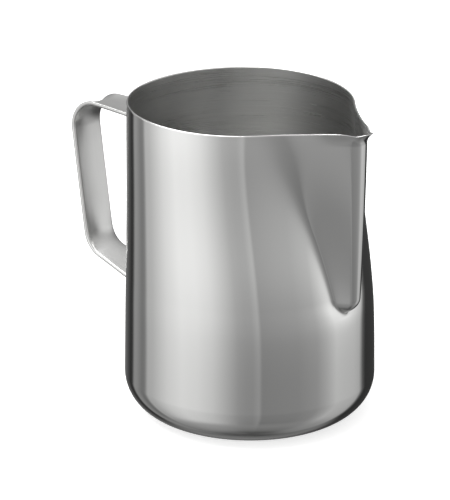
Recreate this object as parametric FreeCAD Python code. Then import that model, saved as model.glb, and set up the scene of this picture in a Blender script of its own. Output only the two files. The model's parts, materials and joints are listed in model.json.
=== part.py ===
import FreeCAD, Part

import math
import os

# Milk frothing pitcher, one litre. The origin is on the body's axis at the base, +Z is up,
# +X points along the spout and the handle is on -X. Millimetres and degrees.

# Body: one drawn sheet, a slightly tapered cup with a round base corner.
BODY_RADIUS = 52.5
RIM_RADIUS = 50.2
HEIGHT = 133.0
BASE_CORNER = 16.0
SHEET = 0.8

# Waist: the wall is squeezed in round the spout's side, evenly deeper above WAIST_STEADY.
WAIST_START = 26.0
WAIST_STEADY = 84.0
WAIST_DEPTH = 12.2
WAIST_REACH = 125.0

# Spout: a V pressed outwards. Its flanks are straight in plan and meet in a round nose, which
# is sharper and nearer at the V's lower end than at the rim.
SPOUT_BOTTOM = 52.0
SPOUT_FULL = 60.5
FLANK_ANGLE_LOW = 26.1
FLANK_ANGLE_HIGH = 42.8
NOSE_REACH_LOW = 56.8
NOSE_REACH_HIGH = 58.2
NOSE_RADIUS_LOW = 3.2
NOSE_RADIUS_HIGH = 6.5
NOSE_BLUNT = 1.2
TIP_SINK = 6.0

# Crease between the wall and the V, and the groove that draws the wall in beside it.
CREASE_WIDTH_LOW = 1.1
CREASE_WIDTH_HIGH = 2.2
CREASE_FROM = 88.0
CREASE_TO = 125.0
GROOVE = 1.7
GROOVE_REACH = 8.5
GROOVE_BELOW = 2.0
GROOVE_RUN_IN = 6.0
GROOVE_BLUNT = 5.0
GROOVE_FROM = 60.0
GROOVE_TO = 128.0

# Lip: the nose sharpens and leans out below the rim.
LIP_HEIGHT = 5.5
LIP_NOSE_RADIUS = 4.0
LIP_FLARE = 3.0
LIP_SPREAD = 9.0

# Rim: level at the back, falling in an S towards the spout, with a dip behind the lip's tip.
RIM_DROP = 2.0
RIM_DROP_FROM = -35.0
RIM_DROP_TO = 32.0
LIP_DIP = 0.9
LIP_DIP_AT = 58.0
LIP_DIP_WIDTH = 2.6
RIM_POINTS = 40
TRIM_MARGIN = 4.0

# Handle: one bent strap in the plane of the spout. Its corners are where its straight outer
# faces would meet, as distance from the body's axis and height.
STRAP_THICKNESS = 1.8
STRAP_UPPER_END = (40.0, 117.3)
STRAP_UPPER_CORNER = (95.6, 119.2)
STRAP_LOWER_CORNER = (86.2, 50.9)
STRAP_LOWER_END = (40.0, 36.7)
STRAP_UPPER_BEND = 13.0
STRAP_LOWER_BEND = 12.0
GRIP_WIDTH = 16.6
STRAP_END_WIDTH = 19.6
GRIP_FROM = 84.0
WELD_SIZE = 1.4

# How finely the formed sheet is laid out, and the crease's angle at the V's ends.
CREASE_ANGLE_LOW = 7.0
CREASE_ANGLE_HIGH = 46.0
CORNER_ROWS = 7
FRONT_COLUMNS = 28
BACK_COLUMNS = 26
NOSE_SPACING = 0.6


def blend(start, end, value):
    """Smooth step from 0 at start to 1 at end."""
    t = min(max((value - start) / (end - start), 0.0), 1.0)
    return t * t * (3.0 - 2.0 * t)


def wall_radius(angle, z, inset):
    """Radius of the tapered, waisted wall at an angle from the spout."""
    share = (z - BASE_CORNER) / (HEIGHT - BASE_CORNER)
    span = WAIST_STEADY - WAIST_START
    t = min(max((z - WAIST_START) / span, 0.0), 1.0)
    past = max(z - WAIST_STEADY, 0.0)
    rise = (span * (t**3 - 0.5 * t**4) + past) / (HEIGHT - WAIST_STEADY + 0.5 * span)
    squeeze = 0.0
    if angle < WAIST_REACH:
        squeeze = 0.5 + 0.5 * math.cos(math.pi * angle / WAIST_REACH)
    taper = (RIM_RADIUS - BODY_RADIUS) * share
    return BODY_RADIUS + taper - WAIST_DEPTH * rise * squeeze - inset


def spout_plan(z, inset):
    """Half angle, nose radius and nose centre of the V at a height, and the depth below it."""
    left = min(max((HEIGHT - z) / (HEIGHT - SPOUT_BOTTOM), 0.0), 1.3) ** 2
    half = math.radians(FLANK_ANGLE_HIGH + (FLANK_ANGLE_LOW - FLANK_ANGLE_HIGH) * left)
    full = NOSE_RADIUS_HIGH + (NOSE_RADIUS_LOW - NOSE_RADIUS_HIGH) * left
    reach = NOSE_REACH_HIGH + (NOSE_REACH_LOW - NOSE_REACH_HIGH) * left
    depth = max((SPOUT_FULL - z) / (SPOUT_FULL - SPOUT_BOTTOM - inset), 0.0)
    return half, full, reach - full - TIP_SINK * depth**2, depth


def spout_radius(angle, z, inset):
    """Radius of the spout's round nose and straight flank at an angle from its middle."""
    half, full, heart, depth = spout_plan(z, inset)
    lip = HEIGHT - RIM_DROP - LIP_HEIGHT
    curl = min(max((z - lip) / LIP_HEIGHT, 0.0), 1.0) ** 2
    # The lower end shrinks to a tongue.
    shrink = math.sqrt(max(1.0 - depth**2, 0.0))
    apex = heart + (full - inset) * shrink / math.sin(half)
    nose = (full - inset + (LIP_NOSE_RADIUS - full) * curl) * shrink
    centre = apex - nose / math.sin(half)
    touch = math.atan2(nose * math.cos(half), centre + nose * math.sin(half))
    turn = min(math.radians(math.hypot(angle, NOSE_BLUNT)), 0.5 * math.pi - half)
    lean = LIP_FLARE * curl * math.exp(-((angle / LIP_SPREAD) ** 2))
    if turn < touch:
        room = max(nose**2 - (centre * math.sin(turn)) ** 2, 0.0)
        return centre * math.cos(turn) + math.sqrt(room) + lean
    return apex * math.sin(half) / math.sin(half + turn) + lean


def groove_depth(angle, z, wall):
    """How far the wall is drawn in: most along the V's flanks, and nothing near the rim."""
    half, full, heart, _ = spout_plan(z, 0.0)
    turn = min(math.radians(math.hypot(angle, GROOVE_BLUNT)), 0.5 * math.pi - half)
    swell = blend(SPOUT_BOTTOM - GROOVE_RUN_IN, SPOUT_FULL, z)
    core = (heart * math.sin(half) + full * swell) / math.sin(half + turn)
    below = SPOUT_BOTTOM - z
    away = max(wall - core, 0.0) + 0.5 * (below + math.hypot(below, GROOVE_BELOW))
    return GROOVE * (1.0 - blend(GROOVE_FROM, GROOVE_TO, z)) * math.exp(-away / GROOVE_REACH)


def sheet_radius(angle, z, inset):
    """Radius of the formed sheet: the wall or the spout, whichever is further out."""
    wall = wall_radius(angle, z, inset)
    spout = spout_radius(angle, z, inset)
    soft = blend(CREASE_FROM, CREASE_TO, z)
    crease = CREASE_WIDTH_LOW + (CREASE_WIDTH_HIGH - CREASE_WIDTH_LOW) * soft
    wall -= groove_depth(angle, z, wall)
    return 0.5 * (wall + spout + math.hypot(wall - spout, crease))


def rim_height(x):
    """Height of the rim at a distance from the axis towards the spout."""
    dip = LIP_DIP * math.exp(-(((x - LIP_DIP_AT) / LIP_DIP_WIDTH) ** 2))
    return HEIGHT - RIM_DROP * blend(RIM_DROP_FROM, RIM_DROP_TO, x) - dip


def sheet_angles(z):
    """Angles round the sheet, closest at the nose, with a column on each crease."""
    rise = min(max((z - SPOUT_FULL) / (HEIGHT - SPOUT_FULL), 0.0), 1.0)
    crease = CREASE_ANGLE_LOW + (CREASE_ANGLE_HIGH - CREASE_ANGLE_LOW) * rise
    rest = 180.0 - crease
    start = (2.0 - NOSE_SPACING) * crease / FRONT_COLUMNS * BACK_COLUMNS / rest
    half = []
    for i in range(FRONT_COLUMNS):
        share = i / FRONT_COLUMNS
        half.append(crease * share * (NOSE_SPACING + (1.0 - NOSE_SPACING) * share))
    for i in range(BACK_COLUMNS + 1):
        share = i / BACK_COLUMNS
        half.append(crease + rest * share * (start + (1.0 - start) * share))
    return half + [-angle for angle in half[-2:0:-1]]


def heights(top):
    """Heights of the wall's rows, closest at the spout's lower end and at the lip."""
    lip = HEIGHT - RIM_DROP - LIP_HEIGHT
    spans = [
        (BASE_CORNER, WAIST_START, 3),
        (WAIST_START, SPOUT_BOTTOM - 1.0, 9),
        (SPOUT_BOTTOM - 1.0, SPOUT_FULL + 1.0, 12),
        (SPOUT_FULL + 1.0, lip, 18),
        (lip, lip + LIP_HEIGHT, 6),
        (lip + LIP_HEIGHT, top, 5),
    ]
    rows = [start + (end - start) * i / count for start, end, count in spans for i in range(count)]
    return rows + [top]


def spline_poles(points, places, periodic):
    """Knots, multiplicities and poles of the cubic through points at given places."""
    curve = Part.BSplineCurve()
    curve.interpolate(Points=points, Parameters=places, PeriodicFlag=periodic)
    return curve.getKnots(), curve.getMultiplicities(), curve.getPoles()


def sheet_side(inset, top):
    """The sheet's surface, from the edge of the flat base up to a height."""
    rows = []
    places = []
    for i in range(CORNER_ROWS):
        turn = 0.5 * math.pi * i / CORNER_ROWS
        radius = BODY_RADIUS - BASE_CORNER + (BASE_CORNER - inset) * math.sin(turn)
        z = BASE_CORNER - (BASE_CORNER - inset) * math.cos(turn)
        rows.append([(radius, angle, z) for angle in sheet_angles(z)])
        places.append((turn - 0.5 * math.pi) * BASE_CORNER)
    for z in heights(top):
        rows.append([(sheet_radius(abs(angle), z, inset), angle, z) for angle in sheet_angles(z)])
        places.append(z - BASE_CORNER)
    grid = []
    for row in rows:
        turns = [(radius, math.radians(angle), z) for radius, angle, z in row]
        points = [FreeCAD.Vector(r * math.cos(t), r * math.sin(t), z) for r, t, z in turns]
        around = [float(i) for i in range(len(points) + 1)]
        round_knots, round_mults, poles = spline_poles(points, around, True)
        grid.append(poles)
    columns = []
    for column in zip(*grid):
        up_knots, up_mults, poles = spline_poles(list(column), places, False)
        columns.append(poles)
    surface = Part.BSplineSurface()
    surface.buildFromPolesMultsKnots(
        columns, round_mults, up_mults, round_knots, up_knots, True, False, 3, 3
    )
    return surface


def filled(inset, top):
    """The pitcher filled solid up to a height: its outside, or its inside when inset."""
    surface = sheet_side(inset, top)
    faces = [surface.toShape()]
    for value in surface.bounds()[2:]:
        faces.append(Part.Face(Part.Wire(surface.vIso(value).toShape())))
    sewn = Part.Compound(faces)
    sewn.sewShape()
    solid = Part.Solid(sewn.Shells[0])
    if solid.Volume < 0.0:
        solid.reverse()
    return solid


def rim_trim():
    """Solid above the rim, with the rim's curve as its lower face."""
    back = -BODY_RADIUS - 5.0
    front = BODY_RADIUS + 20.0
    width = 2.0 * BODY_RADIUS + 10.0
    step = (front - RIM_DROP_FROM) / RIM_POINTS
    places = [RIM_DROP_FROM + step * i for i in range(RIM_POINTS + 1)]
    points = [FreeCAD.Vector(x, 0, rim_height(x)) for x in places]
    bend = Part.BSplineCurve()
    bend.interpolate(points)
    high = HEIGHT + 2.0 * TRIM_MARGIN
    corners = [
        points[-1],
        FreeCAD.Vector(front, 0, high),
        FreeCAD.Vector(back, 0, high),
        FreeCAD.Vector(back, 0, HEIGHT),
        points[0],
    ]
    edges = [bend.toShape()]
    for start, end in zip(corners, corners[1:]):
        edges.append(Part.makeLine(start, end))
    face = Part.Face(Part.Wire(edges))
    face.translate(FreeCAD.Vector(0, -width / 2.0, 0))
    return face.extrude(FreeCAD.Vector(0, width, 0))


def strap_corners(depth):
    """The strap's outer corners moved inwards by a depth, on parallel lines."""
    points = [STRAP_UPPER_END, STRAP_UPPER_CORNER, STRAP_LOWER_CORNER, STRAP_LOWER_END]
    lines = []
    for (r0, z0), (r1, z1) in zip(points, points[1:]):
        length = math.hypot(r1 - r0, z1 - z0)
        along = ((r1 - r0) / length, (z1 - z0) / length)
        inward = (along[1], -along[0])
        lines.append((r0 + inward[0] * depth, z0 + inward[1] * depth, along))
    moved = [(lines[0][0], lines[0][1])]
    for (r0, z0, d0), (r1, z1, d1) in zip(lines, lines[1:]):
        cross = d0[0] * d1[1] - d0[1] * d1[0]
        run = ((r1 - r0) * d1[1] - (z1 - z0) * d1[0]) / cross
        moved.append((r0 + d0[0] * run, z0 + d0[1] * run))
    r, z, along = lines[-1]
    (r0, z0), (r1, z1) = points[2:]
    length = math.hypot(r1 - r0, z1 - z0)
    moved.append((r + along[0] * length, z + along[1] * length))
    return moved


def strap_edges(depth):
    """Lines and tangent arcs of the strap's face at a depth below its outer face."""
    points = [FreeCAD.Vector(-r, 0, z) for r, z in strap_corners(depth)]
    bends = [STRAP_UPPER_BEND - depth, STRAP_LOWER_BEND - depth]
    edges = []
    start = points[0]
    for i, radius in enumerate(bends, 1):
        back = (points[i - 1] - points[i]).normalize()
        on = (points[i + 1] - points[i]).normalize()
        half = back.getAngle(on) / 2.0
        reach = radius / math.tan(half)
        middle = (back + on).normalize() * (radius / math.sin(half) - radius)
        first = points[i] + back * reach
        last = points[i] + on * reach
        edges.append(Part.makeLine(start, first))
        edges.append(Part.Arc(first, points[i] + middle, last).toShape())
        start = last
    edges.append(Part.makeLine(start, points[-1]))
    return edges


def bent_strap(grow):
    """The strap running into the body at both ends, thicker and wider by grow on each side."""
    outer = Part.Wire(strap_edges(-grow))
    inner = Part.Wire(strap_edges(STRAP_THICKNESS + grow))
    ends = [
        Part.makeLine(outer.OrderedVertexes[0].Point, inner.OrderedVertexes[0].Point),
        Part.makeLine(outer.OrderedVertexes[-1].Point, inner.OrderedVertexes[-1].Point),
    ]
    side = Part.Face(Part.Wire(Part.__sortEdges__(outer.Edges + inner.Edges + ends)))
    side.translate(FreeCAD.Vector(0, -STRAP_END_WIDTH, 0))
    slab = side.extrude(FreeCAD.Vector(0, 2.0 * STRAP_END_WIDTH, 0))
    grip = GRIP_WIDTH / 2.0 + grow
    wide = STRAP_END_WIDTH / 2.0 + grow
    far = STRAP_UPPER_CORNER[0] + 10.0
    outline = [
        FreeCAD.Vector(-far, -grip, 0),
        FreeCAD.Vector(-GRIP_FROM, -grip, 0),
        FreeCAD.Vector(-BODY_RADIUS, -wide, 0),
        FreeCAD.Vector(0, -wide, 0),
        FreeCAD.Vector(0, wide, 0),
        FreeCAD.Vector(-BODY_RADIUS, wide, 0),
        FreeCAD.Vector(-GRIP_FROM, grip, 0),
        FreeCAD.Vector(-far, grip, 0),
        FreeCAD.Vector(-far, -grip, 0),
    ]
    plan = Part.Face(Part.makePolygon(outline)).extrude(FreeCAD.Vector(0, 0, HEIGHT))
    return slab.common(plan)


def weld_beads(strap, outside):
    """Beads round the strap's two ends, seated on the strap and on the wall."""
    reach = BODY_RADIUS + WELD_SIZE
    top = RIM_RADIUS + WELD_SIZE
    collar = Part.makeCone(reach, top, HEIGHT - BASE_CORNER, FreeCAD.Vector(0, 0, BASE_CORNER))
    beads = bent_strap(WELD_SIZE).common(collar).cut(outside).cut(strap)
    solids = [s for s in beads.Solids if s.BoundBox.XMax < -BODY_RADIUS / 2.0]
    return sorted(solids, key=lambda s: s.BoundBox.ZMin)


def main():
    os.makedirs("parts", exist_ok=True)
    top = HEIGHT + TRIM_MARGIN
    outside = filled(0.0, top)
    inside = filled(SHEET, top + TRIM_MARGIN)
    jug_body = outside.cut(inside).cut(rim_trim())
    strap = bent_strap(0.0).cut(outside)
    handle_strap = max(strap.Solids, key=lambda s: s.Volume)
    lower_weld, upper_weld = weld_beads(handle_strap, outside)
    nodes = {
        "jug_body": jug_body,
        "handle_strap": handle_strap,
        "upper_weld": upper_weld,
        "lower_weld": lower_weld,
    }
    for name, shape in nodes.items():
        solids = shape.Solids
        assert len(solids) == 1 and solids[0].isValid(), name
        solids[0].exportStep(f"parts/{name}.step")
        box = solids[0].BoundBox
        print(name, round(shape.Volume, 1), "mm3", [round(v, 2) for v in (
            box.XMin, box.YMin, box.ZMin, box.XMax, box.YMax, box.ZMax)])


main()
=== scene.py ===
import json
import math

import bpy
import numpy as np
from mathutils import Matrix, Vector


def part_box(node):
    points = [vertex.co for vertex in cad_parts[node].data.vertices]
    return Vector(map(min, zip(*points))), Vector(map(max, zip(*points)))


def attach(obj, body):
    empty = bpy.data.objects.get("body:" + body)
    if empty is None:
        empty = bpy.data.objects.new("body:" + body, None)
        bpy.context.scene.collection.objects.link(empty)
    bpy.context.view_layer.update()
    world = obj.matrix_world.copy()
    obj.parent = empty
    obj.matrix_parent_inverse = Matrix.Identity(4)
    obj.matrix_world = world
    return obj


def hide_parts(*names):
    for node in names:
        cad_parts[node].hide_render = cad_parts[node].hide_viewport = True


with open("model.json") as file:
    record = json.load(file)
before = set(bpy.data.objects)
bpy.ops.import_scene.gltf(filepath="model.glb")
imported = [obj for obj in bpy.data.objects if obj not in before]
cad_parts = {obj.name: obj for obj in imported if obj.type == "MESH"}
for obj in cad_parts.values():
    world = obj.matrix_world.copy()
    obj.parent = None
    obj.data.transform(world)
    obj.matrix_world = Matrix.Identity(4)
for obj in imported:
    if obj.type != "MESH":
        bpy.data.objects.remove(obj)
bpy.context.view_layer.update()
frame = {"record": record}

bl_info = {
    "name": "Milk Frothing Pitcher",
    "version": (1, 0, 0),
    "blender": (4, 5, 0),
    "location": "View3D > Sidebar > Pitcher",
    "description": "Builds a polished steel milk pitcher and its studio round a fixed frame",
    "category": "Object",
}

# All lengths are in metres and all angles in radians. The row frame has its origin at the
# centre of the base, +Z up, +X along the spout and the handle on -X.
BODY_LOW, BODY_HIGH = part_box("jug_body")
STRAP_LOW, STRAP_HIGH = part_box("handle_strap")
FINISH = {entry["slot"]: entry["base_color"][:3] for entry in frame["record"]["materials"]}


# ---- Sizes and colours a user would change ----


def length(name, text, default):
    """A length in metres."""
    return bpy.props.FloatProperty(
        name=name, description=text, default=default, unit="LENGTH", subtype="DISTANCE", precision=5
    )


def turn(name, text, degrees):
    """An angle, given here in degrees."""
    return bpy.props.FloatProperty(
        name=name, description=text, default=math.radians(degrees), unit="ROTATION", subtype="ANGLE"
    )


def number(name, text, default):
    """A plain number."""
    return bpy.props.FloatProperty(name=name, description=text, default=default)


def colour(name, text, default):
    """A linear colour."""
    return bpy.props.FloatVectorProperty(
        name=name, description=text, default=default, size=3, subtype="COLOR", min=0.0, max=1.0
    )


class PitcherBody(bpy.types.PropertyGroup):
    """The drawn and formed sheet."""

    radius: length("Radius", "Widest radius, just above the base corner", BODY_HIGH.y)
    height: length("Height", "Base to the back of the rim", BODY_HIGH.z)
    taper: length("Taper", "How much narrower the round rim is than the base", 0.0023)
    corner: length("Base corner", "Radius between the base and the wall", 0.016)
    sheet: length("Sheet", "Thickness of the steel", 0.0008)
    waist_start: length("Waist start", "Height where the squeeze beside the spout begins", 0.026)
    waist_steady: length("Waist steady", "Height above which the squeeze deepens evenly", 0.084)
    waist_depth: length("Waist depth", "How far the wall is squeezed in at the rim", 0.0122)
    waist_reach: turn("Waist reach", "Angle from the spout where the squeeze ends", 125.0)
    spout_bottom: length("Spout bottom", "Height of the V's lower end", 0.052)
    spout_full: length("Spout full", "Height where the V stands fully out of the wall", 0.0605)
    nose_reach: length("Nose reach", "Distance of the nose from the axis below the lip", 0.0582)
    reach_low: length("Lower reach", "That distance at the V's lower end", 0.0568)
    nose_low: length("Lower nose", "Roundness of the nose at the V's lower end", 0.0032)
    nose_blunt: turn("Blunt", "Angle over which the nose's middle is flattened", 1.2)
    nose_radius: length("Nose radius", "Roundness of the nose below the lip", 0.0065)
    lip_radius: length("Lip radius", "Roundness of the nose at the lip", 0.004)
    lip_height: length("Lip height", "Height over which the nose sharpens into the lip", 0.0055)
    lip_flare: length("Lip flare", "How far the lip leans out beyond the nose", 0.003)
    lip_spread: turn("Lip spread", "Angle from the tip over which that lean fades", 9.0)
    lip_dip: length("Lip dip", "How far the rim dips just behind the tip", 0.0009)
    lip_low: length("Lip low", "Where that dip is deepest, along X", 0.058)
    lip_width: length("Lip width", "Half length of that dip", 0.0026)
    flank_low: turn("Lower flank", "Half angle of the V at its lower end", 26.1)
    flank_high: turn("Upper flank", "Half angle of the V at the rim", 42.8)
    tip_sink: length("Tip sink", "How far the nose's centre has moved in at the V's lower end", 0.006)
    crease: length("Lower crease", "Softness of the fold between the wall and the V, low down", 0.0011)
    crease_soft: length("Upper crease", "Softness of that fold near the rim", 0.0022)
    crease_from: length("Crease from", "Height where the fold begins to soften", 0.088)
    crease_to: length("Crease to", "Height where the fold is softest", 0.125)
    crease_angle: turn("Crease angle", "Least angle that the columns beside the nose take in", 7.0)
    groove: length("Groove", "How far the wall is drawn in beside the V", 0.0017)
    below_soft: length("Below", "How softly that draw-in ends below the V", 0.002)
    groove_from: length("Groove from", "Height where that draw-in begins to lessen", 0.06)
    groove_to: length("Groove to", "Height where it has gone", 0.128)
    groove_reach: length("Groove reach", "How quickly that draw-in fades away from the V", 0.0085)
    groove_blunt: turn("Groove blunt", "Angle that rounds the draw-in off below the tongue", 5.0)
    rim_drop: length("Rim drop", "How much lower the rim is at the spout", 0.002)
    rim_back: length("Rim back", "Where the rim begins to fall, along X", -0.035)
    rim_front: length("Rim front", "Where the rim is level again, along X", 0.032)
    colour: colour("Steel", "Colour of the sheet", FINISH["polished_sheet"])


class PitcherHandle(bpy.types.PropertyGroup):
    """The bent strap and its welds."""

    thickness: length("Thickness", "Thickness of the strap", 0.0018)
    grip_width: length("Grip width", "Width of the strap in the grip", 0.0166)
    end_width: length("End width", "Width of the strap where it is welded", 2.0 * STRAP_HIGH.y)
    grip_from: length("Grip from", "Distance from the axis where the grip width is reached", 0.084)
    upper_bend: length("Upper bend", "Outer radius of the upper bend", 0.013)
    lower_bend: length("Lower bend", "Outer radius of the lower bend", 0.012)
    edge: length("Edge", "Roundness of the strap's edges", 0.00075)
    cup: length("Cup", "Hollow across the straight runs", 0.0003)
    upper_cup: length("Upper cup", "Hollow across the upper bend", 0.0019)
    lower_cup: length("Lower cup", "Hollow across the lower bend", 0.0014)
    bead: length("Bead", "Thickness of the weld beads", 0.0018)
    ripple: number("Ripple", "Height of the bead's ripples as a share of its radius", 0.07)
    colour: colour("Strap steel", "Colour of the strap", FINISH["brushed_strap"])
    weld_colour: colour("Weld steel", "Colour of the weld metal", FINISH["weld_metal"])


class PitcherStudio(bpy.types.PropertyGroup):
    """Floor, light and camera."""

    floor_radius: length("Floor", "Radius of the floor", 6.0)
    floor_colour: colour("Floor colour", "Colour of the floor", (0.9, 0.9, 0.9))
    floor_glow: number("Floor glow", "Light the table gives from below", 0.6)
    distance: length("Camera distance", "From the middle of the body to the camera", 1.05)
    azimuth: turn("Camera azimuth", "Direction of the camera, from +X towards +Y", -50.0)
    elevation: turn("Camera elevation", "Height of the camera above the horizon", 19.92)
    focal: number("Focal length", "Lens, in millimetres on a 36 mm sensor", 182.5)
    key: number("Key", "Power of the overhead softbox, in watts", 30.0)
    sweep: number("Sweep", "Brightness of the studio round the pitcher", 1.0)


# ---- Shapes ----

# Columns of the sheet's grid on each side: from the nose to the crease, and on to the back,
# where the first step is an angle in radians.
FRONT, BACK = 56, 68
FIRST_BACK_STEP = 0.012
# Widest angle that is searched for the crease, in radians.
WIDEST_CREASE = 1.1
# Where the V stops narrowing below its lower end, as a share of its height.
MOST_LEFT = 1.3
# How far below the V the groove begins to swell.
GROOVE_RUN_IN = 0.006


def smooth(low, high, value):
    """0 below low, 1 above high, and 3t^2 - 2t^3 between them."""
    t = np.clip((value - low) / (high - low), 0.0, 1.0)
    return t * t * (3.0 - 2.0 * t)


def wall_radius(body, angle, z, inset):
    """Tapered radius less the squeeze. Up the wall the squeeze's slope grows by a smooth step,
    so its depth is t^3 - t^4 / 2 and then a straight line. Round the wall it is half of one
    plus the cosine of the angle, which falls to nothing at the waist's reach."""
    share = (z - body.corner) / (body.height - body.corner)
    span = body.waist_steady - body.waist_start
    t = np.clip((z - body.waist_start) / span, 0.0, 1.0)
    past = np.clip(z - body.waist_steady, 0.0, None)
    rise = (span * (t**3 - 0.5 * t**4) + past) / (body.height - body.waist_steady + 0.5 * span)
    squeeze = 0.5 + 0.5 * np.cos(np.pi * angle / body.waist_reach)
    squeeze = np.where(angle < body.waist_reach, squeeze, 0.0)
    return body.radius - body.taper * share - body.waist_depth * rise * squeeze - inset


def spout_plan(body, z, inset):
    """The V at a height: half its angle, its nose radius, the distance of the nose's centre
    from the axis, and the depth, which grows from 0 at the V's full height to 1 at its lower
    end. Each of the others is its upper figure plus its difference from the lower figure
    times the squared share of the height that is left, and the centre sinks by the tip sink
    times the squared depth."""
    left = np.clip((body.height - z) / (body.height - body.spout_bottom), 0.0, MOST_LEFT) ** 2
    half = body.flank_high + (body.flank_low - body.flank_high) * left
    full = body.nose_radius + (body.nose_low - body.nose_radius) * left
    reach = body.nose_reach + (body.reach_low - body.nose_reach) * left
    tongue = body.spout_full - body.spout_bottom - inset
    depth = np.clip((body.spout_full - z) / tongue, 0.0, None)
    return half, full, reach - full - body.tip_sink * depth**2, depth


def spout_radius(body, angle, z, inset):
    """Polar radius of a V in plan whose straight flanks meet in a round nose: the nose is a
    circle on the middle line, and a flank is the apex's distance times the sine of the half
    angle over the sine of that angle plus the turn. Down the tongue the V shrinks by the root
    of one minus the squared depth. Up the lip the nose's radius goes to the lip's with the
    squared share of the way, and the lip leans out by a bell curve of the angle."""
    half, full, heart, depth = spout_plan(body, z, inset)
    lip = body.height - body.rim_drop - body.lip_height
    curl = np.clip((z - lip) / body.lip_height, 0.0, 1.0) ** 2
    shrink = np.clip(1.0 - depth**2, 0.0, 1.0) ** 0.5
    apex = heart + (full - inset) * shrink / np.sin(half)
    nose = (full - inset + (body.lip_radius - full) * curl) * shrink
    centre = apex - nose / np.sin(half)
    touch = np.arctan2(nose * np.cos(half), centre + nose * np.sin(half))
    turned = np.minimum(np.hypot(angle, body.nose_blunt), 0.5 * np.pi - half)
    room = np.clip(nose**2 - (centre * np.sin(turned)) ** 2, 0.0, None)
    arc = centre * np.cos(turned) + np.sqrt(room)
    flank = apex * np.sin(half) / np.sin(half + turned)
    lean = body.lip_flare * curl * np.exp(-((angle / body.lip_spread) ** 2))
    return np.where(turned < touch, arc, flank) + lean


def groove_depth(body, angle, z, wall):
    """How far the wall is drawn in beside the V: the groove times the exponential of minus
    the distance from the V's plain core and from its lower end, over the groove's reach, and
    times one minus a smooth step that takes it to nothing near the rim."""
    half, full, heart, _ = spout_plan(body, z, 0.0)
    turned = np.minimum(np.hypot(angle, body.groove_blunt), 0.5 * np.pi - half)
    swell = smooth(body.spout_bottom - GROOVE_RUN_IN, body.spout_full, z)
    core = (heart * np.sin(half) + full * swell) / np.sin(half + turned)
    below = body.spout_bottom - z
    away = np.clip(wall - core, 0.0, None) + 0.5 * (below + np.hypot(below, body.below_soft))
    drawn = body.groove * (1.0 - smooth(body.groove_from, body.groove_to, z))
    return drawn * np.exp(-away / body.groove_reach)


def sheet_radius(body, angle, z, inset):
    """Polar radius of the formed sheet: half of the wall's plus the spout's plus the root of
    their squared difference and the squared crease. That is the larger of the two with the
    fold between them rounded, and the crease widens by a smooth step towards the rim."""
    wall = wall_radius(body, angle, z, inset)
    spout = spout_radius(body, angle, z, inset)
    soft = smooth(body.crease_from, body.crease_to, z)
    crease = body.crease + (body.crease_soft - body.crease) * soft
    wall = wall - groove_depth(body, angle, z, wall)
    return 0.5 * (wall + spout + np.hypot(wall - spout, crease))


def crease_angle(body, z):
    """Angle where the wall and the spout cross, by halving the interval, at every height."""
    heights = np.linspace(0.0, body.height, 600)
    low = np.full_like(heights, body.crease_angle)
    high = np.full_like(heights, WIDEST_CREASE)
    for _ in range(30):
        middle = 0.5 * (low + high)
        spout = spout_radius(body, middle, heights, 0.0)
        outside = spout > wall_radius(body, middle, heights, 0.0)
        low = np.where(outside, middle, low)
        high = np.where(outside, high, middle)
    return np.interp(z, heights, low)


def rim_height(body, x):
    """Height of the rim: level at the back, a smooth fall towards the spout and a dip just
    behind the tip of the lip, which is the exponential of minus the squared distance."""
    dip = body.lip_dip * np.exp(-(((x - body.lip_low) / body.lip_width) ** 2))
    return body.height - body.rim_drop * smooth(body.rim_back, body.rim_front, x) - dip


def sheet_angles(body, z, front, back):
    """Angles of the columns at heights z: from the nose to the crease with a cosine's
    spacing, close at both ends, and on to the back with a spacing that widens evenly."""
    crease = crease_angle(body, z)[..., None]
    near = 0.5 - 0.5 * np.cos(np.pi * np.arange(front) / front)
    far = np.arange(back + 1) / back
    start = FIRST_BACK_STEP * back / (np.pi - crease)
    half = np.concatenate([
        crease * near,
        crease + (np.pi - crease) * far * (start + (1.0 - start) * far),
    ], axis=-1)
    return np.concatenate([half, -half[..., -2:0:-1]], axis=-1)


def spaced(*stretches):
    """Heights along stretches of (start, end, count), each start included once."""
    return np.concatenate([
        np.linspace(start, end, count, endpoint=False) for start, end, count in stretches
    ])


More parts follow.
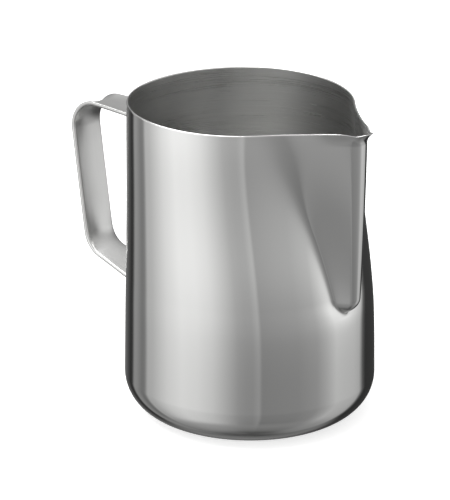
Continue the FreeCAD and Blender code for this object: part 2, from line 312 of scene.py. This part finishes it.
def sheet_grid(body):
    """The sheet as a closed surface: rows run from the middle of the underside out and up
    the wall, over the round rim and down the inside to the middle of the floor. A row is a
    height and an inset from the outer face, and its radius at an angle is sheet_radius."""
    foot = body.radius - body.corner
    half = 0.5 * body.sheet
    top = body.height - half
    lip = top - body.lip_height
    v_low = body.spout_bottom - 0.002
    v_high = body.spout_full + 0.0015
    arc = np.linspace(0.0, 0.5 * np.pi, 26)[:-1]
    over = np.linspace(0.0, np.pi, 11)[1:-1]
    flat = foot * np.array([0.02, 0.2, 0.4, 0.6, 0.8, 0.95])
    outer = spaced(
        (body.corner, body.waist_start, 10), (body.waist_start, v_low, 34), (v_low, v_high, 40),
        (v_high, lip, 70), (lip, top, 20),
    )
    inner = spaced(
        (body.corner, body.waist_start, 8), (body.waist_start, v_low, 20), (v_low, v_high, 28),
        (v_high, lip, 50), (lip, top, 16),
    )[::-1]
    inside = body.corner - body.sheet
    plain = np.zeros(0)
    parts = [
        (flat, np.zeros(6), np.zeros(6)),
        (foot + body.corner * np.sin(arc), body.corner * (1.0 - np.cos(arc)), np.zeros(25)),
        (plain, np.append(outer, top), np.zeros(len(outer) + 1)),
        (plain, top + half * np.sin(over), half * (1.0 - np.cos(over))),
        (plain, np.append(top, inner), np.full(len(inner) + 1, body.sheet)),
        (
            foot + inside * np.sin(arc[::-1]), body.corner - inside * np.cos(arc[::-1]),
            np.full(25, body.sheet),
        ),
        (flat[::-1], np.full(6, body.sheet), np.full(6, body.sheet)),
    ]
    counts = [len(part[1]) for part in parts]
    round_rows = np.concatenate([p[0] if len(p[0]) else np.full(len(p[1]), np.nan) for p in parts])
    level = np.concatenate([p[1] for p in parts])[:, None]
    inset = np.concatenate([p[2] for p in parts])[:, None]
    columns = sheet_angles(body, np.array(body.height), FRONT, BACK)
    rim = np.full_like(columns, body.height)
    for _ in range(12):
        rim = rim_height(body, sheet_radius(body, abs(columns), rim, 0.0) * np.cos(columns))
    stretch = np.clip((level - v_high) / (lip - v_high), 0.0, 1.0)
    z = level + (rim[None, :] - body.height) * stretch
    angle = np.stack(
        [sheet_angles(body, z[:, i], FRONT, BACK)[:, i] for i in range(len(columns))], axis=1
    )
    radius = sheet_radius(body, abs(angle), z, inset)
    radius = np.where(np.isnan(round_rows)[:, None], radius, round_rows[:, None])
    grid = np.stack([radius * np.cos(angle), radius * np.sin(angle), z], axis=-1)
    outside_rows = sum(counts[:3]) - 1
    return grid, outside_rows, counts[3]


# Where the strap's straight outer faces would meet, as distance from the axis and height,
# and the heights at which they reach the wall.
UPPER_CORNER = np.array([0.0956, 0.1192])
LOWER_CORNER = np.array([0.0862, 0.0509])
UPPER_END_HEIGHT = 0.1177
LOWER_END_HEIGHT = 0.0405


def strap_path(handle, body):
    """Outer face of the strap in the plane of the handle, as distance from the axis and
    height. Its heading is constant on the straight runs and changes evenly on the bends,
    and the place is the running sum of the heading's cosine and sine."""
    start = np.array([body.radius - body.taper - 0.0001, UPPER_END_HEIGHT])
    end = np.array([body.radius - 0.0008, LOWER_END_HEIGHT])
    runs = np.array([UPPER_CORNER - start, LOWER_CORNER - UPPER_CORNER, end - LOWER_CORNER])
    lengths = np.hypot(*runs.T)
    headings = np.arctan2(runs[:, 1], runs[:, 0])
    turns = -np.diff(headings)
    radii = np.array([handle.upper_bend, handle.lower_bend])
    reach = radii * np.tan(0.5 * turns)
    arcs = radii * turns
    straight = lengths - np.array([reach[0], reach.sum(), reach[1]])
    knots = np.cumsum([0.0, straight[0], arcs[0], straight[1], arcs[1], straight[2]])
    along = np.linspace(0.0, knots[-1], 360)
    heading = np.interp(along, knots, np.repeat(headings, 2))
    ahead = np.stack([np.cos(heading), np.sin(heading)], axis=-1)
    steps = 0.5 * (ahead[1:] + ahead[:-1]) * np.diff(along)[:, None]
    place = start + np.concatenate([np.zeros((1, 2)), np.cumsum(steps, axis=0)])
    bends = 0.5 * (knots[1] + knots[2]), 0.5 * (knots[3] + knots[4])
    return along, place, ahead, bends


def strap_grid(handle, body):
    """A rounded rectangle carried along the strap's path. It is cupped: the outer face
    sinks by the cup times one minus the squared share of the half width, and the cup grows
    to its full depth in the middle of each bend."""
    along, place, ahead, bends = strap_path(handle, body)
    half = 0.5 * handle.thickness
    edge = handle.edge
    width = handle.grip_width + (handle.end_width - handle.grip_width) * smooth(
        -handle.grip_from, -body.radius, -place[:, 0]
    )
    flat = np.linspace(-1.0, 1.0, 17)
    corner = np.linspace(0.0, 0.5 * np.pi, 6)[1:-1]
    bulge = np.append(np.sin(corner), 1.0)
    round_fall = edge * np.append(1.0 - np.cos(corner), 1.0)
    # Once round the section: outer face, far edge, inner face, near edge.
    share = np.concatenate([flat, np.ones(10), flat[::-1], -np.ones(10)])
    out = np.concatenate([np.zeros(17), bulge, bulge[::-1], np.zeros(17), -bulge, -bulge[::-1]])
    fall = np.concatenate([round_fall, 2.0 * half - round_fall[::-1]])
    drop = np.concatenate([np.zeros(17), fall, np.full(17, 2.0 * half), fall[::-1]])
    across = (0.5 * width[:, None] - edge) * share + edge * out
    cup = (
        handle.cup
        + (handle.upper_cup - handle.cup) * np.exp(-(((along - bends[0]) / 0.013) ** 2))
        + (handle.lower_cup - handle.cup) * np.exp(-(((along - bends[1]) / 0.011) ** 2))
    )
    depth = drop + cup[:, None] * (1.0 - (2.0 * across / width[:, None]) ** 2)
    left = np.stack([-ahead[:, 1], ahead[:, 0]], axis=-1)
    reach = place[:, 0, None] - left[:, 0, None] * depth
    z = place[:, 1, None] - left[:, 1, None] * depth
    # The ends are cut to the round wall, and the cut fades out over the first millimetres.
    sunk = 0.2 * body.sheet
    share_up = (z - body.corner) / (body.height - body.corner)
    wall = np.sqrt((body.radius - body.taper * share_up - sunk) ** 2 - across**2)
    for row, fade in ((0, 1.0 - along / 0.008), (-1, 1.0 - (along[-1] - along) / 0.008)):
        slide = (wall[row] - reach[row]) / ahead[row, 0]
        fade = np.clip(fade, 0.0, 1.0)[:, None]
        reach = reach + slide * ahead[row, 0] * fade
        z = z + slide * ahead[row, 1] * fade
    grid = np.stack([-reach, across, z], axis=-1)
    marks = np.stack([along[:, None] + 0.0 * across, across, depth], axis=-1)
    return grid, marks


def bead_grid(handle, body, strap, row):
    """A rippled ring round the strap's end: a circle carried along the line where the strap
    meets the wall, its radius swelling and shrinking with a cosine of the way round."""
    ring = strap[row]
    inward = strap[1 if row == 0 else -2] - ring
    away = inward / np.linalg.norm(inward, axis=1, keepdims=True)
    follow = np.roll(ring, -1, axis=0) - np.roll(ring, 1, axis=0)
    out = np.cross(follow, away)
    out /= np.linalg.norm(out, axis=1, keepdims=True)
    centre_line = ring - ring.mean(axis=0)
    out *= np.sign((out * centre_line).sum(axis=1).sum())
    radius = 0.5 * handle.bead
    middle = ring + away * (0.2 * body.sheet + 0.45 * radius) + out * 0.25 * radius
    count = len(ring)
    around = 2.0 * np.pi * np.arange(20) / 20
    swell = 1.0 + handle.ripple * np.cos(2.0 * np.pi * np.arange(count) * (count // 3) / count)
    spread = radius * swell[:, None, None]
    return middle[:, None] + spread * (
        np.cos(around)[None, :, None] * out[:, None] + np.sin(around)[None, :, None] * away[:, None]
    )


def make_piece(name, grid, materials, slots=None, closed=False):
    """A mesh from a grid of points whose columns go round. The rows go round too when
    closed, and otherwise each end is closed on its own middle. slots is each row's material."""
    rows, columns = grid.shape[:2]
    index = np.arange(rows * columns).reshape(rows, columns)
    ahead = np.roll(index, -1, axis=1)
    up = np.roll(index, -1, axis=0)
    up_ahead = np.roll(ahead, -1, axis=0)
    last = rows if closed else rows - 1
    quads = np.stack([index, ahead, up_ahead, up], axis=-1)[:last].reshape(-1, 4)
    places = grid.reshape(-1, 3)
    fans = np.zeros((0, 3), int)
    if not closed:
        middles = np.stack([grid[0].mean(axis=0), grid[-1].mean(axis=0)])
        places = np.concatenate([places, middles])
        first = np.full(columns, rows * columns)
        fans = np.concatenate([
            np.stack([ahead[0], index[0], first], axis=-1),
            np.stack([index[-1], ahead[-1], first + 1], axis=-1),
        ])
    a, b, c = (places[quads[:, i]] for i in range(3))
    if (np.cross(a, b) * c).sum() < 0.0:
        quads = quads[:, ::-1]
        fans = fans[:, ::-1]
    mesh = bpy.data.meshes.new(name)
    mesh.from_pydata(places.tolist(), [], quads.tolist() + fans.tolist())
    mesh.shade_smooth()
    for material in materials:
        mesh.materials.append(material)
    if slots is not None:
        per_face = np.concatenate([
            np.repeat(slots[:last], columns),
            np.repeat([slots[0], slots[-1]], columns) if len(fans) else np.zeros(0, int),
        ])
        mesh.polygons.foreach_set("material_index", per_face.astype(np.int32))
    mesh.update()
    piece = bpy.data.objects.new(name, mesh)
    bpy.context.collection.objects.link(piece)
    return piece


# ---- Shader graphs ----


class Value:
    """A socket that carries a number. + - * / and ** on it add Math nodes."""

    def __init__(self, graph, socket):
        self.graph = graph
        self.socket = socket

    def join(self, operation, first, second):
        return self.graph.node("ShaderNodeMath", {"operation": operation}, {0: first, 1: second})

    def __add__(self, other):
        return self.join("ADD", self, other)

    def __radd__(self, other):
        return self.join("ADD", other, self)

    def __sub__(self, other):
        return self.join("SUBTRACT", self, other)

    def __rsub__(self, other):
        return self.join("SUBTRACT", other, self)

    def __mul__(self, other):
        return self.join("MULTIPLY", self, other)

    def __rmul__(self, other):
        return self.join("MULTIPLY", other, self)

    def __truediv__(self, other):
        return self.join("DIVIDE", self, other)

    def __pow__(self, other):
        return self.join("POWER", self, other)


class Graph:
    """A node tree that is filled by one method."""

    def __init__(self, tree):
        self.tree = tree
        tree.nodes.clear()

    def node(self, kind, settings=None, sockets=None, output=0):
        """Adds a node, sets its settings, fills its sockets and returns one output."""
        node = self.tree.nodes.new(kind)
        for name, setting in (settings or {}).items():
            if name == "stops":
                ramp = node.color_ramp
                while len(ramp.elements) < len(setting):
                    ramp.elements.new(0.5)
                for element, (place, level) in zip(ramp.elements, setting):
                    element.position = place
                    element.color = (level, level, level, 1.0)
            else:
                setattr(node, name, setting)
        for name, value in (sockets or {}).items():
            socket = node.inputs[name]
            if isinstance(value, Value):
                self.tree.links.new(value.socket, socket)
            else:
                socket.default_value = value
        return Value(self, node.outputs[output]) if node.outputs else None

    def ramp(self, value, stops):
        """A grey level read from stops of (place, level), with place from 0 to 1."""
        return self.node("ShaderNodeValToRGB", {"stops": stops}, {"Fac": value})

    def between(self, value, low, high):
        """Smooth step of a value, from 0 at low to 1 at high."""
        return self.node(
            "ShaderNodeMapRange", {"interpolation_type": "SMOOTHSTEP"},
            {"Value": value, "From Min": low, "From Max": high, "To Min": 0.0, "To Max": 1.0},
        )

    def noise(self, vector, scale, detail=2.0, roughness=0.5):
        """Soft noise from 0 to 1 over a vector."""
        return self.node(
            "ShaderNodeTexNoise", {},
            {"Vector": vector, "Scale": scale, "Detail": detail, "Roughness": roughness},
        )

    def stretched(self, vector, scale):
        """A vector scaled on its three axes."""
        return self.node("ShaderNodeMapping", {}, {"Vector": vector, "Scale": scale})

    def bump(self, height, distance, normal=None):
        """A normal bent by a height map whose full height is distance, in metres."""
        sockets = {"Height": height, "Distance": distance, "Strength": 1.0}
        if normal is not None:
            sockets["Normal"] = normal
        return self.node("ShaderNodeBump", {}, sockets)


def new_material(name):
    """An empty material and its graph."""
    material = bpy.data.materials.new(name)
    material.use_nodes = True
    return material, Graph(material.node_tree)


def finish_metal(graph, colour, roughness, normal, **constants):
    """Closes a graph with a metal surface."""
    sockets = {"Base Color": colour, "Metallic": 1.0, "Roughness": roughness, "Normal": normal}
    sockets.update({name.replace("_", " "): value for name, value in constants.items()})
    shader = graph.node("ShaderNodeBsdfPrincipled", {}, sockets)
    graph.node("ShaderNodeOutputMaterial", {}, {"Surface": shader})


def tinted(graph, colour, level):
    """A colour multiplied by a level near 1."""
    grey = graph.node("ShaderNodeCombineColor", {}, {"Red": level, "Green": level, "Blue": level})
    return graph.node(
        "ShaderNodeMix", {"data_type": "RGBA", "blend_type": "MULTIPLY"},
        {"Factor": 1.0, 6: (*colour, 1.0), 7: grey}, output=2,
    )


def mirror_polish(body):
    """Mirror-polished sheet: faint polishing lines round the wall, a slow ripple left by
    forming, thin film marks and scuffs low on the base corner."""
    material, graph = new_material("mirror_polish")
    place = graph.node("ShaderNodeTexCoord", {}, {}, output="Object")
    height = graph.node("ShaderNodeSeparateXYZ", {}, {"Vector": place}, output="Z")
    lines = graph.noise(graph.stretched(place, (40.0, 40.0, 3200.0)), 1.0, 3.0, 0.6)
    film = graph.noise(place, 22.0, 4.0, 0.55)
    slow = graph.noise(graph.stretched(place, (9.0, 9.0, 14.0)), 1.0, 1.0)
    scratches = graph.noise(graph.stretched(place, (260.0, 260.0, 2600.0)), 1.0, 4.0, 0.7)
    worn = graph.between(height, 0.012, 0.0005)
    scuffs = graph.between(scratches, 0.56, 0.66) * worn
    roughness = 0.045 + 0.03 * lines + 0.035 * film + 0.16 * scuffs
    level = 0.985 + 0.02 * film - 0.08 * scuffs
    normal = graph.bump(slow, 0.00003)
    normal = graph.bump(lines, 0.0000012, normal)
    normal = graph.bump(scuffs, 0.00001, normal)
    finish_metal(graph, tinted(graph, body.colour, level), roughness, normal)
    return material


def satin_brushing(body):
    """The inside: brushed round the axis, with fine lines and broader bands."""
    material, graph = new_material("satin_brushing")
    place = graph.node("ShaderNodeTexCoord", {}, {}, output="Object")
    fine = graph.noise(graph.stretched(place, (30.0, 30.0, 4200.0)), 1.0, 4.0, 0.65)
    coarse = graph.noise(graph.stretched(place, (18.0, 18.0, 1100.0)), 1.0, 2.0, 0.5)
    bands = graph.noise(graph.stretched(place, (10.0, 10.0, 190.0)), 1.0, 2.0, 0.5)
    cloud = graph.noise(place, 30.0, 3.0, 0.5)
    roughness = 0.15 + 0.14 * fine + 0.1 * bands + 0.04 * cloud
    level = 0.74 + 0.3 * fine + 0.12 * bands
    normal = graph.bump(coarse, 0.00004)
    normal = graph.bump(fine, 0.000014, normal)
    finish_metal(
        graph, tinted(graph, body.colour, level), roughness, normal,
        Anisotropic=0.7, Anisotropic_Rotation=0.25,
    )
    return material


def buffed_rim(body):
    """The rim's round edge, buffed bright, with the small nicks of use."""
    material, graph = new_material("buffed_rim")
    place = graph.node("ShaderNodeTexCoord", {}, {}, output="Object")
    grain = graph.noise(place, 900.0, 3.0, 0.6)
    nicks = graph.between(graph.noise(place, 340.0, 2.0, 0.5), 0.68, 0.76)
    normal = graph.bump(grain, 0.000004)
    normal = graph.bump(nicks, 0.00002, normal)
    finish_metal(
        graph, tinted(graph, body.colour, 1.0 - 0.12 * nicks), 0.12 + 0.1 * grain + 0.15 * nicks, normal
    )
    return material


def brushed_strap(handle):
    """The strap: brushed along its length, its edges rubbed bright by hands."""
    material, graph = new_material("brushed_strap")
    mark = graph.node("ShaderNodeAttribute", {"attribute_name": "strap_place"}, {}, output="Vector")
    across = graph.node("ShaderNodeSeparateXYZ", {}, {"Vector": mark}, output="Y")
    edge = graph.between(across**2, 0.0075**2, 0.0086**2)
    fine = graph.noise(graph.stretched(mark, (60.0, 5200.0, 5200.0)), 1.0, 4.0, 0.65)
    broad = graph.noise(graph.stretched(mark, (16.0, 700.0, 700.0)), 1.0, 2.0, 0.5)
    cloud = graph.noise(graph.stretched(mark, (50.0, 120.0, 120.0)), 1.0, 3.0, 0.5)
    roughness = 0.22 + 0.12 * fine + 0.1 * cloud - 0.12 * edge
    level = 0.9 + 0.07 * fine + 0.06 * broad
    normal = graph.bump(broad, 0.000012)
    normal = graph.bump(fine, 0.000006, normal)
    finish_metal(graph, tinted(graph, handle.colour, level), roughness, normal)
    return material


def weld_bead(handle):
    """Weld metal, wire-brushed: a matt grain with darker and lighter patches at random."""
    material, graph = new_material("weld_bead")
    place = graph.node("ShaderNodeTexCoord", {}, {}, output="Object")
    grain = graph.noise(place, 1400.0, 3.0, 0.6)
    patch = graph.noise(place, 180.0, 2.0, 0.5)
    normal = graph.bump(grain, 0.00002)
    finish_metal(
        graph, tinted(graph, handle.weld_colour, 0.86 + 0.2 * patch), 0.3 + 0.18 * grain, normal
    )
    return material


def floor_paint(studio):
    """Matt pale table, lit from below, with a trace of mottling."""
    material, graph = new_material("pale_floor")
    place = graph.node("ShaderNodeTexCoord", {}, {}, output="Object")
    mottle = graph.noise(place, 6.0, 2.0, 0.5)
    shader = graph.node("ShaderNodeBsdfPrincipled", {}, {
        "Base Color": tinted(graph, studio.floor_colour, 0.99 + 0.02 * mottle),
        "Roughness": 0.7, "Emission Color": (1.0, 1.0, 1.0, 1.0), "Emission Strength": studio.floor_glow,
    })
    graph.node("ShaderNodeOutputMaterial", {}, {"Surface": shader})
    return material


def glowing(name, level):
    """A plain light-giving surface."""
    material, graph = new_material(name)
    shader = graph.node("ShaderNodeEmission", {}, {"Color": (1.0, 1.0, 1.0, 1.0), "Strength": level})
    graph.node("ShaderNodeOutputMaterial", {}, {"Surface": shader})
    return material


# ---- Studio ----

# Brightness of the studio round the pitcher at eye level, as (direction, level), in degrees
# from the camera and positive to its right: softboxes left and right, a grey wall behind the
# camera and black flags beside the background.
SWEEP = [
    (-180, 0.20), (-165, 0.20), (-158, 0.14), (-142, 0.034), (-137, 0.055), (-132, 0.34),
    (-127, 0.33),
    (-117, 0.22), (-112, 0.24), (-107, 0.54), (-100, 0.56), (-80, 0.83), (-64, 0.945), (-48, 0.883),
    (-34, 0.747), (-20, 0.524), (-10, 0.377), (-3, 0.337), (3, 0.327), (9, 0.39), (11, 0.27), (16, 0.277),
    (45, 0.30), (64, 0.36), (74, 0.478), (86, 0.652), (110, 0.595), (120, 0.522), (126, 0.128),
    (132, 0.04), (160, 0.05), (180, 0.20),
]
# How that brightness changes with height, as (elevation in degrees, factor), and the level
# towards which the white table evens it out from below.
RISE = [
    (-90, 0.22), (-80, 0.28), (-72, 0.48), (-62, 0.60), (-50, 0.72), (-36, 0.78), (-24, 0.82),
    (-16, 1.03), (-8, 1.36), (-2, 1.75), (8, 1.60), (25, 1.1), (45, 1.4), (60, 1.7), (90, 1.5),
]
TABLE_LEVEL = 0.42


def studio_light(studio):
    """World light by direction: the sweep's level times the rise's, softened overhead."""
    world = bpy.data.worlds.new("studio")
    bpy.context.scene.world = world
    world.use_nodes = True
    graph = Graph(world.node_tree)
    place = graph.node("ShaderNodeTexCoord", {}, {}, output="Generated")
    turned = graph.node(
        "ShaderNodeVectorRotate", {"rotation_type": "Z_AXIS"},
        {"Vector": place, "Angle": -studio.azimuth},
    )
    split = graph.node("ShaderNodeSeparateXYZ", {}, {"Vector": turned}, output="X")
    node = split.socket.node
    x, y, z = (Value(graph, node.outputs[i]) for i in range(3))
    round_share = y.join("ARCTAN2", y, x) / (2.0 * math.pi) + 0.5
    rise_share = z.join("ARCSINE", z, 0.0) / math.pi + 0.5
    sweep = graph.ramp(round_share, [(a / 360.0 + 0.5, level) for a, level in SWEEP])
    rise = graph.ramp(rise_share, [(e / 180.0 + 0.5, 0.5 * level) for e, level in RISE])
    overhead = graph.between(z, 0.15, 0.6)
    table = 0.7 * graph.between(z, -0.7, -0.87)
    level = sweep * (1.0 - overhead) + 0.5 * overhead
    level = (level * (1.0 - table) + TABLE_LEVEL * table) * rise * 2.0
    light = graph.node(
        "ShaderNodeBackground", {}, {"Color": (1.0, 1.0, 1.0, 1.0), "Strength": level * studio.sweep}
    )
    graph.node("ShaderNodeOutputWorld", {}, {"Surface": light})


def disc(name, radius, z, material):
    """A flat round sheet of one face, facing up."""
    around = np.linspace(0.0, 2.0 * np.pi, 64, endpoint=False)
    ring = np.stack([radius * np.cos(around), radius * np.sin(around), np.full(64, z)], axis=-1)
    mesh = bpy.data.meshes.new(name)
    mesh.from_pydata(ring.tolist(), [], [list(range(64))])
    mesh.materials.append(material)
    sheet = bpy.data.objects.new(name, mesh)
    bpy.context.collection.objects.link(sheet)
    return sheet


def dome(name, radius, material):
    """A half sphere open below: columns go round and rows rise as the sine of a turn."""
    lift = np.linspace(-0.1, 0.5 * np.pi - 0.02, 24)[:, None]
    around = np.linspace(0.0, 2.0 * np.pi, 48, endpoint=False)[None, :]
    flat = np.ones_like(around)
    grid = radius * np.stack(
        [np.cos(lift) * np.cos(around), np.cos(lift) * np.sin(around), np.sin(lift) * flat], axis=-1
    )
    return make_piece(name, grid, [material])


def add_lamp(name, size, watts, place, aim):
    """A square softbox that faces a point."""
    data = bpy.data.lights.new(name, "AREA")
    data.shape = "SQUARE"
    data.size = size
    data.energy = watts
    lamp = bpy.data.objects.new(name, data)
    lamp.location = place
    lamp.rotation_euler = (Vector(aim) - Vector(place)).to_track_quat("-Z", "Y").to_euler()
    bpy.context.collection.objects.link(lamp)


# Where the camera aims, to the left of the body's middle and above it.
AIM_LEFT, AIM_UP = 0.01037, 0.00169


def add_camera(studio, body):
    """The camera, aimed just below the middle of the body."""
    data = bpy.data.cameras.new("camera")
    data.lens = studio.focal
    data.sensor_width = 36.0
    data.clip_end = 50.0
    camera = bpy.data.objects.new("camera", data)
    flat = math.cos(studio.elevation)
    back = Vector((
        flat * math.cos(studio.azimuth), flat * math.sin(studio.azimuth), math.sin(studio.elevation),
    ))
    side = Vector((-math.sin(studio.azimuth), math.cos(studio.azimuth), 0.0))
    up = back.cross(side)
    middle = Vector((0.0, 0.0, 0.5 * body.height))
    camera.location = middle + back * studio.distance
    aim = middle - side * AIM_LEFT + up * AIM_UP
    camera.rotation_euler = (aim - camera.location).to_track_quat("-Z", "Y").to_euler()
    bpy.context.collection.objects.link(camera)
    bpy.context.scene.camera = camera


# ---- Operators ----


class PITCHER_OT_stage(bpy.types.Operator):
    """Makes the floor, the backdrop, the light and the camera"""

    bl_idname = "pitcher.stage"
    bl_label = "Stage"

    def execute(self, context):
        studio = context.scene.pitcher_studio
        body = context.scene.pitcher_body
        context.scene.view_settings.view_transform = "Standard"
        floor = disc("floor", studio.floor_radius, -0.0002, floor_paint(studio))
        backdrop = dome("backdrop", 0.95 * studio.floor_radius, glowing("backdrop_white", 1.0))
        floor.visible_glossy = False
        backdrop.visible_glossy = False
        backdrop.visible_diffuse = False
        backdrop.visible_shadow = False
        studio_light(studio)
        add_lamp("overhead", 1.6, studio.key, (-0.5, -0.4, 1.8), (0.0, 0.0, 0.0))
        add_camera(studio, body)
        return {"FINISHED"}


class PITCHER_OT_body(bpy.types.Operator):
    """Makes the formed sheet: polished outside, brushed inside, with a buffed rim"""

    bl_idname = "pitcher.body"
    bl_label = "Body"

    def execute(self, context):
        body = context.scene.pitcher_body
        grid, outside, over = sheet_grid(body)
        slots = np.zeros(len(grid), int)
        slots[outside:outside + over + 1] = 1
        slots[outside + over + 1:] = 2
        finishes = [mirror_polish(body), buffed_rim(body), satin_brushing(body)]
        shell = make_piece("jug_shell", grid, finishes, slots)
        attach(shell, "root")
        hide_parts("jug_body")
        return {"FINISHED"}


class PITCHER_OT_handle(bpy.types.Operator):
    """Makes the cupped strap and the weld beads at its ends"""

    bl_idname = "pitcher.handle"
    bl_label = "Handle"

    def execute(self, context):
        handle = context.scene.pitcher_handle
        body = context.scene.pitcher_body
        grid, marks = strap_grid(handle, body)
        strap = make_piece("cupped_strap", grid, [brushed_strap(handle)])
        ends = np.stack([marks[0].mean(axis=0), marks[-1].mean(axis=0)])
        places = np.concatenate([marks.reshape(-1, 3), ends])
        layer = strap.data.attributes.new("strap_place", "FLOAT_VECTOR", "POINT")
        layer.data.foreach_set("vector", places.astype(np.float32).ravel())
        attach(strap, "root")
        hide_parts("handle_strap")
        metal = weld_bead(handle)
        for name, node, row in (("upper_bead", "upper_weld", 0), ("lower_bead", "lower_weld", -1)):
            bead = make_piece(name, bead_grid(handle, body, grid, row), [metal], closed=True)
            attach(bead, "root")
            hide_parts(node)
        return {"FINISHED"}


class PITCHER_PT_panel(bpy.types.Panel):
    """Lists what the pitcher is made of"""

    bl_label = "Pitcher"
    bl_idname = "PITCHER_PT_panel"
    bl_space_type = "VIEW_3D"
    bl_region_type = "UI"
    bl_category = "Pitcher"

    def draw(self, context):
        layout = self.layout
        groups = (
            (context.scene.pitcher_studio, PITCHER_OT_stage),
            (context.scene.pitcher_body, PITCHER_OT_body),
            (context.scene.pitcher_handle, PITCHER_OT_handle),
        )
        for group, operator in groups:
            box = layout.box()
            for name in group.__annotations__:
                box.prop(group, name)
            box.operator(operator.bl_idname)


CLASSES = (
    PitcherBody, PitcherHandle, PitcherStudio,
    PITCHER_OT_stage, PITCHER_OT_body, PITCHER_OT_handle, PITCHER_PT_panel,
)


def register():
    for cls in CLASSES:
        bpy.utils.register_class(cls)
    bpy.types.Scene.pitcher_body = bpy.props.PointerProperty(type=PitcherBody)
    bpy.types.Scene.pitcher_handle = bpy.props.PointerProperty(type=PitcherHandle)
    bpy.types.Scene.pitcher_studio = bpy.props.PointerProperty(type=PitcherStudio)


def unregister():
    del bpy.types.Scene.pitcher_studio
    del bpy.types.Scene.pitcher_handle
    del bpy.types.Scene.pitcher_body
    for cls in reversed(CLASSES):
        bpy.utils.unregister_class(cls)


def main():
    register()
    bpy.ops.pitcher.stage()
    bpy.ops.pitcher.body()
    bpy.ops.pitcher.handle()


if __name__ == "__main__":
    main()
